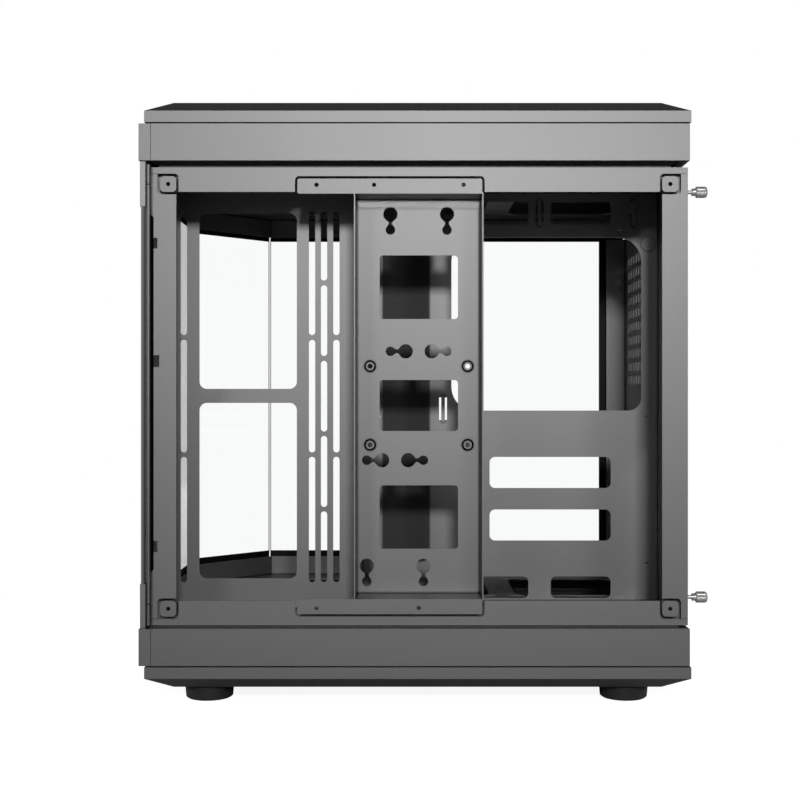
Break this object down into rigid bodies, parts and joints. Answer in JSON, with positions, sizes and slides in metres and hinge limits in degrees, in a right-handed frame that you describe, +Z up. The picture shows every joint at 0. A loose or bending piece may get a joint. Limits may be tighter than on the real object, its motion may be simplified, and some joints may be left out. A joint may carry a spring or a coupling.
{
  "type": "computer case",
  "caption": "Dual-chamber tower computer case with glass front, corner and left side, its right side panel off to show the cable chamber, drive bracket and motherboard tray.",
  "frame": {"origin": "middle of the floor under the case, thumbscrews included", "axes": "+X towards the rear panel, +Y towards the glass side, +Z up"},
  "size_m": [0.4324, 0.29, 0.4631],
  "materials": {
    "powder_coated_steel": "satin dark powder coat",
    "satin_plastic": "satin",
    "vent_mesh": "perforated sheet, powder coated",
    "rubber": "matt",
    "glass": "clear tempered",
    "nickel_plate": "bright nickel",
    "bright_steel": "plain",
    "brass": "turned"
  },
  "bodies": {
    "case": {"top_chassis_plate": "powder_coated_steel", "bottom_chassis_plate": "powder_coated_steel", "rear_panel": "powder_coated_steel", "front_right_post": "powder_coated_steel", "motherboard_tray": "powder_coated_steel", "corner_gusset_front_top": "powder_coated_steel", "corner_gusset_rear_top": "powder_coated_steel", "corner_gusset_front_bottom": "powder_coated_steel", "corner_gusset_rear_bottom": "powder_coated_steel", "drive_bracket": "powder_coated_steel", "top_band_right": "powder_coated_steel", "top_band_glass": "powder_coated_steel", "bottom_band_right": "powder_coated_steel", "bottom_band_glass": "powder_coated_steel", "front_glass_strip": "powder_coated_steel", "slot_cover_1": "powder_coated_steel", "slot_cover_2": "powder_coated_steel", "slot_cover_3": "powder_coated_steel", "slot_cover_4": "powder_coated_steel", "slot_cover_5": "powder_coated_steel", "slot_cover_6": "powder_coated_steel", "slot_cover_7": "powder_coated_steel", "top_cap": "satin_plastic", "bottom_pan": "satin_plastic", "io_housing": "satin_plastic", "audio_jack": "satin_plastic", "top_vent_mesh": "vent_mesh", "bottom_vent_mesh": "vent_mesh", "cable_grommet": "rubber", "glass_seal": "rubber", "foot_front_right": "rubber", "foot_rear_right": "rubber", "foot_front_left": "rubber", "foot_rear_left": "rubber", "front_glass": "glass", "corner_glass": "glass", "left_glass": "glass", "panel_thumbscrews": "nickel_plate", "band_screws": "nickel_plate", "slot_cover_screws": "nickel_plate", "front_glass_clip_top": "bright_steel", "front_glass_clip_bottom": "bright_steel", "usb_port_1": "bright_steel", "usb_port_2": "bright_steel", "usb_c_port": "bright_steel", "standoffs": "brass"},
    "power_button": {"power_button": "satin_plastic"},
    "reset_button": {"reset_button": "satin_plastic"}
  },
  "joints": [
    {"name": "power_press", "type": "slide", "parent": "case", "child": "power_button", "axis": [0, 0, -1], "range_m": [0, 0.0015], "stiffness_N_per_m": 900},
    {"name": "reset_press", "type": "slide", "parent": "case", "child": "reset_button", "axis": [0, 0, -1], "range_m": [0, 0.0015], "stiffness_N_per_m": 700}
  ]
}
